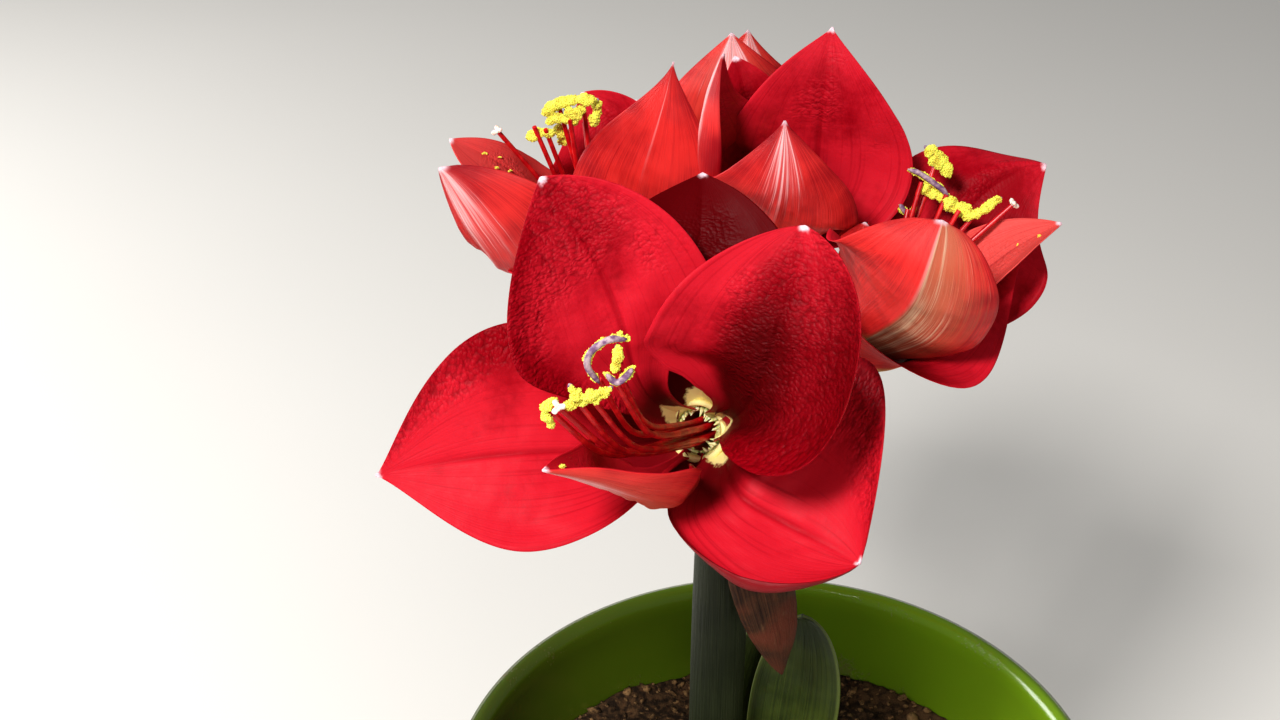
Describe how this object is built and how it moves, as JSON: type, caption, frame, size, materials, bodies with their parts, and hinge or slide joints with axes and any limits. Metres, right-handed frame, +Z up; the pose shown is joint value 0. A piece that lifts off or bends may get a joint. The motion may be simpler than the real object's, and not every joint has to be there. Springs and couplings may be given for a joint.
{
  "type": "potted amaryllis",
  "caption": "Flowering bulb in a round plastic pot: one thick scape with an umbel of wide red trumpet blooms, dry bracts, young leaves and a bulb half out of the soil.",
  "frame": {"origin": "centre of the pot's flat bottom", "axes": "+Z up along the pot's axis, -Y towards the side that the front bloom looks to, +X to the right seen from there"},
  "size_m": [0.284, 0.321, 0.5433],
  "materials": {
    "pot": "smooth moulded gloss, olive to apple green",
    "soil": "rough crumbly dark brown",
    "bulb": "dry papery brown skin",
    "scape": "satin grey-green stem",
    "leaf": "satin green with fine parallel veins",
    "bract": "dry papery reddish brown",
    "petal": "velvety crimson inside, paler streaked orange-red outside",
    "throat": "matt pale greenish cream",
    "stamen": "red threads with crumbly yellow pollen"
  },
  "bodies": {
    "root": {"pot": "pot", "soil": "soil", "bulb": "bulb", "scape": "scape", "leaf_1": "leaf", "leaf_2": "leaf", "bract_1": "bract", "bract_2": "bract", "perianth_front": "petal", "perianth_left": "petal", "perianth_right": "petal", "perianth_upper": "petal", "perianth_rear": "petal", "throat_ring_front": "throat", "throat_ring_left": "throat", "throat_ring_right": "throat", "throat_ring_upper": "throat", "throat_ring_rear": "throat", "stamens_front": "stamen", "stamens_left": "stamen", "stamens_right": "stamen", "stamens_upper": "stamen", "stamens_rear": "stamen"}
  },
  "joints": []
}
